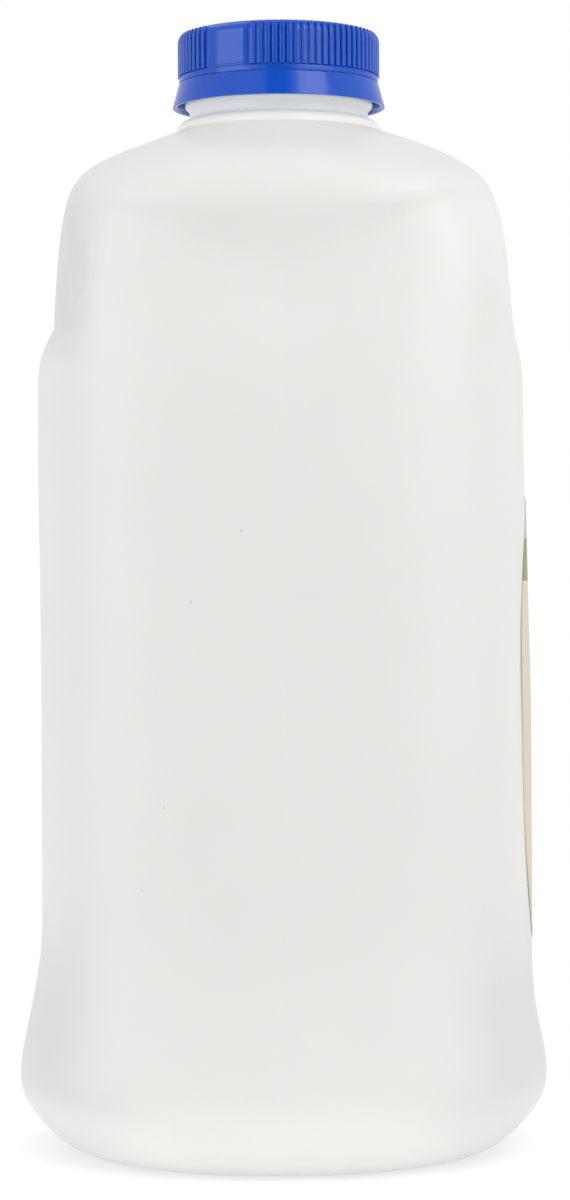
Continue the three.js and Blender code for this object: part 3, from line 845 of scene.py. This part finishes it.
def painted_shade_zones(tree, axes):
    """Painted shade: 1 at the foot's corners and in the left hand recess, where shade falls, fading to 0."""
    side = add(tree, "ShaderNodeMath", {0: axes.outputs["X"]}, operation="ABSOLUTE")
    height = axes.outputs["Z"]
    zones = [
        [(height, PAINTED_SHADE_FOOT_HEIGHT), (side, PAINTED_SHADE_FOOT_SIDE)],
        [(height, PAINTED_SHADE_RECESS_BOTTOM), (height, PAINTED_SHADE_RECESS_TOP), (axes.outputs["X"], PAINTED_SHADE_RECESS_SIDE)],
    ]
    painted_shade = 0.0
    for zone in zones:
        within = 1.0
        for value, span in zone:
            fade = add(tree, "ShaderNodeMapRange", {"Value": value, "From Min": span[0], "From Max": span[1]},
                       interpolation_type="SMOOTHSTEP")
            within = add(tree, "ShaderNodeMath", {0: within, 1: fade}, operation="MULTIPLY")
        painted_shade = add(tree, "ShaderNodeMath", {0: painted_shade, 1: within}, operation="MAXIMUM")
    return painted_shade


def hdpe_material():
    """Blow-moulded HDPE: a cloudy warm white that light enters a little, satin, with a faint skin texture."""
    material, tree = new_material("white_blow_moulded_hdpe")
    place = add(tree, "ShaderNodeTexCoord").outputs["Object"]
    axes = add(tree, "ShaderNodeSeparateXYZ", {0: place})
    clouds = add(tree, "ShaderNodeTexNoise", {"Vector": place, "Scale": scale_for(22), "Detail": 3.0})
    white = {0: clouds.outputs["Fac"], 6: linear("#e4e4e1"), 7: linear("#e9e9e6")}
    colour = add(tree, "ShaderNodeMix", white, data_type="RGBA").outputs[2]
    # painted light: the wall is made lighter towards the collar, where the cap casts its shade
    for span, tint in ((COLLAR_PAINTED_LIGHT, "#eeede8"), (NECK_TINT, "#dbdfdf")):
        rise = {"Value": axes.outputs["Z"], "From Min": span[0], "From Max": span[1]}
        painted_light_or_tint = {0: add(tree, "ShaderNodeMapRange", rise), 6: colour, 7: linear(tint)}
        colour = add(tree, "ShaderNodeMix", painted_light_or_tint, data_type="RGBA").outputs[2]
    # painted shade: the colour turns greyer at the foot's corners and in the left hand recess
    greyer = {0: painted_shade_zones(tree, axes), 6: colour, 7: linear("#dadad8")}
    colour = add(tree, "ShaderNodeMix", greyer, data_type="RGBA").outputs[2]
    flat = add(tree, "ShaderNodeVectorMath", {0: place, 1: (1, 0, 1)}, operation="MULTIPLY")
    front = add(tree, "ShaderNodeMath", {0: axes.outputs["Y"], 1: 0}, operation="LESS_THAN")
    for x, z, radius in SPECKS:
        gap = add(tree, "ShaderNodeVectorMath", {0: flat, 1: (x * MM, 0, z * MM)}, operation="DISTANCE")
        edge = {"From Min": radius * MM, "From Max": SPECK_CORE * radius * MM, "To Max": SPECK_DARKNESS}
        spot = add(tree, "ShaderNodeMapRange", {"Value": gap.outputs["Value"], **edge})
        shown = add(tree, "ShaderNodeMath", {0: spot, 1: front}, operation="MULTIPLY")
        speck = {0: shown, 6: colour, 7: linear("#7d7a74")}
        colour = add(tree, "ShaderNodeMix", speck, data_type="RGBA").outputs[2]
    neck = {"From Min": NECK_TINT[0], "From Max": NECK_TINT[1], "To Max": NECK_SHINE}
    shine = add(tree, "ShaderNodeMapRange", {"Value": axes.outputs["Z"], **neck})
    drawn = add(tree, "ShaderNodeMapping", {"Vector": place, "Scale": (1, 1, 0.12)})
    flow = add(tree, "ShaderNodeTexNoise", {"Vector": drawn, "Scale": scale_for(4), "Detail": 2.0})
    satin = add(tree, "ShaderNodeMapRange", {"Value": flow.outputs["Fac"], "To Min": 0.4, "To Max": 0.5})
    grain = add(tree, "ShaderNodeTexNoise", {"Vector": place, "Scale": scale_for(1.2), "Detail": 2.0})
    bump = add(tree, "ShaderNodeBump", {"Height": grain.outputs["Fac"], "Strength": 0.12, "Distance": 0.0002})
    shader = add(tree, "ShaderNodeBsdfPrincipled", {
        "Base Color": colour,
        "Roughness": satin.outputs[0],
        "Normal": bump,
        "IOR": 1.54,
        "Subsurface Weight": 0.15,
        "Subsurface Radius": (1.0, 0.95, 0.85),
        "Subsurface Scale": 0.004,
        "Emission Color": linear("#f7f6f2"),
        "Emission Strength": shine.outputs[0],
    })
    add(tree, "ShaderNodeOutputMaterial", {"Surface": shader})
    return material


def polypropylene_material():
    """Moulded polypropylene: an even strong blue with a satin gloss and very faint flow clouds."""
    material, tree = new_material("blue_moulded_polypropylene")
    place = add(tree, "ShaderNodeTexCoord").outputs["Object"]
    clouds = add(tree, "ShaderNodeTexNoise", {"Vector": place, "Scale": scale_for(7), "Detail": 3.0})
    blue = add(tree, "ShaderNodeMix", {0: clouds.outputs["Fac"], 6: linear("#0f4bba"), 7: linear("#1454c4")},
               data_type="RGBA")
    satin = add(tree, "ShaderNodeMapRange", {"Value": clouds.outputs["Fac"], "To Min": 0.12, "To Max": 0.2})
    grain = add(tree, "ShaderNodeTexNoise", {"Vector": place, "Scale": scale_for(0.6), "Detail": 2.0})
    bump = add(tree, "ShaderNodeBump", {"Height": grain.outputs["Fac"], "Strength": 0.08, "Distance": 0.0001})
    shader = add(tree, "ShaderNodeBsdfPrincipled", {
        "Base Color": blue.outputs[2],
        "Roughness": satin.outputs[0],
        "Normal": bump,
        "IOR": 1.49,
        "Specular IOR Level": 0.42,
        "Subsurface Weight": 0.1,
        "Subsurface Radius": (0.2, 0.4, 1.0),
        "Subsurface Scale": 0.002,
    })
    add(tree, "ShaderNodeOutputMaterial", {"Surface": shader})
    return material


# Label print: the height each further plain field starts at, and the round field's place and radius
LABEL_FIELDS = ((115.6, "#97a06c"), (124, "#c3bdae"))
LABEL_DISC = (-1.5, 76, 17)


def label_material():
    """Matte printed film: a cream field, a green band across it, a greyer head and one plain round field."""
    material, tree = new_material("matte_printed_label_film")
    place = add(tree, "ShaderNodeTexCoord").outputs["Object"]
    height = add(tree, "ShaderNodeSeparateXYZ", {0: place}).outputs["Z"]
    fibres = add(tree, "ShaderNodeTexNoise", {"Vector": place, "Scale": scale_for(1.5), "Detail": 4.0})
    cream = {0: fibres.outputs["Fac"], 6: linear("#d6ccb6"), 7: linear("#dcd3bf")}
    colour = add(tree, "ShaderNodeMix", cream, data_type="RGBA").outputs[2]
    for level, tint in LABEL_FIELDS:
        above = add(tree, "ShaderNodeMath", {0: height, 1: level * MM}, operation="GREATER_THAN")
        field = {0: above, 6: colour, 7: linear(tint)}
        colour = add(tree, "ShaderNodeMix", field, data_type="RGBA").outputs[2]
    flat = add(tree, "ShaderNodeVectorMath", {0: place, 1: (0, 1, 1)}, operation="MULTIPLY")
    centre = (0, LABEL_DISC[0] * MM, LABEL_DISC[1] * MM)
    gap = add(tree, "ShaderNodeVectorMath", {0: flat, 1: centre}, operation="DISTANCE").outputs["Value"]
    within = add(tree, "ShaderNodeMath", {0: gap, 1: LABEL_DISC[2] * MM}, operation="LESS_THAN")
    disc = {0: within, 6: colour, 7: linear("#e8963c")}
    colour = add(tree, "ShaderNodeMix", disc, data_type="RGBA").outputs[2]
    matte = add(tree, "ShaderNodeMapRange", {"Value": fibres.outputs["Fac"], "To Min": 0.5, "To Max": 0.62})
    bump = add(tree, "ShaderNodeBump", {"Height": fibres.outputs["Fac"], "Strength": 0.1, "Distance": 0.0001})
    shader = add(tree, "ShaderNodeBsdfPrincipled", {
        "Base Color": colour,
        "Roughness": matte.outputs[0],
        "Normal": bump,
        "IOR": 1.5,
    })
    add(tree, "ShaderNodeOutputMaterial", {"Surface": shader})
    return material


# Studio, in metres: the pale floor fades into the white surround between these distances from the jug's axis
FLOOR_FADE = (0.06, 0.12)
TABLE_GLOW = (0.52, 0.72)  # the floor's own light right under the jug, and away from it
GLOW_FADE = (0.045, 0.065)
SURROUND_LIGHT = 0.81
FLAG_HALF_WIDTH = 0.34
FLAG_DEPTH = -1.2
FLAG_SPAN = (-0.6, 2.2)
LIGHTS = {  # place, what it points at, size and watts
    "high_light": ((0.45, -0.5, 0.6), (0.0, 0.0, 0.15), 0.4, 1.35),
    "right_light": ((0.78, -0.78, 0.35), (0.0, 0.0, 0.13), 0.8, 2.35),
    "left_light": ((-0.88, -0.66, 0.3), (0.0, 0.0, 0.13), 0.8, 3.5),
}

# Camera
CAMERA_PLACE = (0.00075, -0.7, 0.114)
CAMERA_TILT_DEG = 0.17
CAMERA_ROLL_DEG = 0.31
FOCAL_PX = 3381
IMAGE_HEIGHT_PX = 1200
SENSOR_HEIGHT = 24.0


def flat_sheet(name, corners):
    mesh = bpy.data.meshes.new(name)
    mesh.from_pydata(corners, [], [tuple(range(len(corners)))])
    return add_object(name, mesh)


def light_table_material():
    """White acrylic lit from below, with a faint unevenness, which fades out into the white surround."""
    material, tree = new_material("white_light_table")
    place = add(tree, "ShaderNodeTexCoord").outputs["Object"]
    clouds = add(tree, "ShaderNodeTexNoise", {"Vector": place, "Scale": scale_for(400)})
    matte = add(tree, "ShaderNodeMapRange", {"Value": clouds.outputs["Fac"], "To Min": 0.85, "To Max": 0.95})
    away = add(tree, "ShaderNodeVectorMath", {0: place}, operation="LENGTH")
    spread = {
        "Value": away.outputs["Value"],
        "From Min": GLOW_FADE[0],
        "From Max": GLOW_FADE[1],
        "To Min": TABLE_GLOW[0],
        "To Max": TABLE_GLOW[1],
    }
    glow = add(tree, "ShaderNodeMapRange", spread, interpolation_type="SMOOTHSTEP")
    table = add(tree, "ShaderNodeBsdfPrincipled", {
        "Base Color": linear("#b4b4b4"),
        "Roughness": matte.outputs[0],
        "Specular IOR Level": 0.1,
        "Emission Color": linear("#ffffff"),
        "Emission Strength": glow.outputs[0],
    })
    edge = {"Value": away.outputs["Value"], "From Min": FLOOR_FADE[0], "From Max": FLOOR_FADE[1]}
    fade = add(tree, "ShaderNodeMapRange", edge, interpolation_type="SMOOTHSTEP")
    clear = add(tree, "ShaderNodeBsdfTransparent")
    blend = add(tree, "ShaderNodeMixShader", {0: fade.outputs[0], 1: table, 2: clear})
    add(tree, "ShaderNodeOutputMaterial", {"Surface": blend})
    return material


def felt_material():
    """Black felt: matte, with a faint nap."""
    material, tree = new_material("black_felt_flag")
    place = add(tree, "ShaderNodeTexCoord").outputs["Object"]
    nap = add(tree, "ShaderNodeTexNoise", {"Vector": place, "Scale": scale_for(3)})
    black = add(tree, "ShaderNodeMix", {0: nap.outputs["Fac"], 6: linear("#141414"), 7: linear("#1e1e1e")},
                data_type="RGBA")
    felt = add(tree, "ShaderNodeBsdfPrincipled", {"Base Color": black.outputs[2], "Roughness": 0.95})
    add(tree, "ShaderNodeOutputMaterial", {"Surface": felt})
    return material


def surround():
    """Even surround: pure white where it is seen, softer as light."""
    world = bpy.data.worlds.new("studio")
    bpy.context.scene.world = world
    world.use_nodes = True
    tree = world.node_tree
    tree.nodes.clear()
    seen = add(tree, "ShaderNodeLightPath").outputs["Is Camera Ray"]
    strength = add(tree, "ShaderNodeMix", {0: seen, 2: SURROUND_LIGHT, 3: 1.0})
    sky = add(tree, "ShaderNodeBackground", {"Color": linear("#ffffff"), "Strength": strength})
    add(tree, "ShaderNodeOutputWorld", {"Surface": sky})


def soft_light(name, place, target, size, watts):
    light = bpy.data.lights.new(name, "AREA")
    light.size = size
    light.energy = watts
    lamp = add_object(name, light)
    lamp.location = place
    lamp.rotation_euler = (Vector(target) - Vector(place)).to_track_quat("-Z", "Y").to_euler()
    lamp.visible_camera = False


def studio():
    """Pale floor, white surround, large soft lights and a dark flag behind the camera."""
    side = FLOOR_FADE[1]
    floor = flat_sheet("floor", [(-side, -side, 0), (side, -side, 0), (side, side, 0), (-side, side, 0)])
    floor.data.materials.append(light_table_material())
    wide = FLAG_HALF_WIDTH
    low, high = FLAG_SPAN
    outline = [(-wide, low), (wide, low), (wide, high), (-wide, high)]
    flag = flat_sheet("flag", [(x, FLAG_DEPTH, z) for x, z in outline])
    flag.data.materials.append(felt_material())
    flag.visible_camera = False
    surround()
    for name, settings in LIGHTS.items():
        soft_light(name, *settings)


def camera():
    """Camera at the photograph's height and distance, turned and rolled as it was."""
    lens = bpy.data.cameras.new("camera")
    lens.sensor_fit = "VERTICAL"
    lens.sensor_height = SENSOR_HEIGHT
    lens.lens = FOCAL_PX / IMAGE_HEIGHT_PX * SENSOR_HEIGHT
    eye = add_object("camera", lens)
    eye.location = CAMERA_PLACE
    eye.rotation_mode = "XYZ"
    eye.rotation_euler = (math.radians(90 - CAMERA_TILT_DEG), math.radians(CAMERA_ROLL_DEG), 0)
    bpy.context.scene.camera = eye


def main():
    studio()
    camera()
    bpy.context.scene.view_settings.view_transform = "Standard"
    blue = polypropylene_material()
    pieces = [
        (jug_piece(hdpe_material()), "jug_body", "white_hdpe"),
        (cap_piece(blue), "screw_cap", "blue_cap"),
        (band_piece(blue), "tamper_band", "blue_band"),
        (label_piece(label_material()), "side_label", "label_film"),
    ]
    for piece, node, slot in pieces:
        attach(piece, "root")
        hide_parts(node)


main()
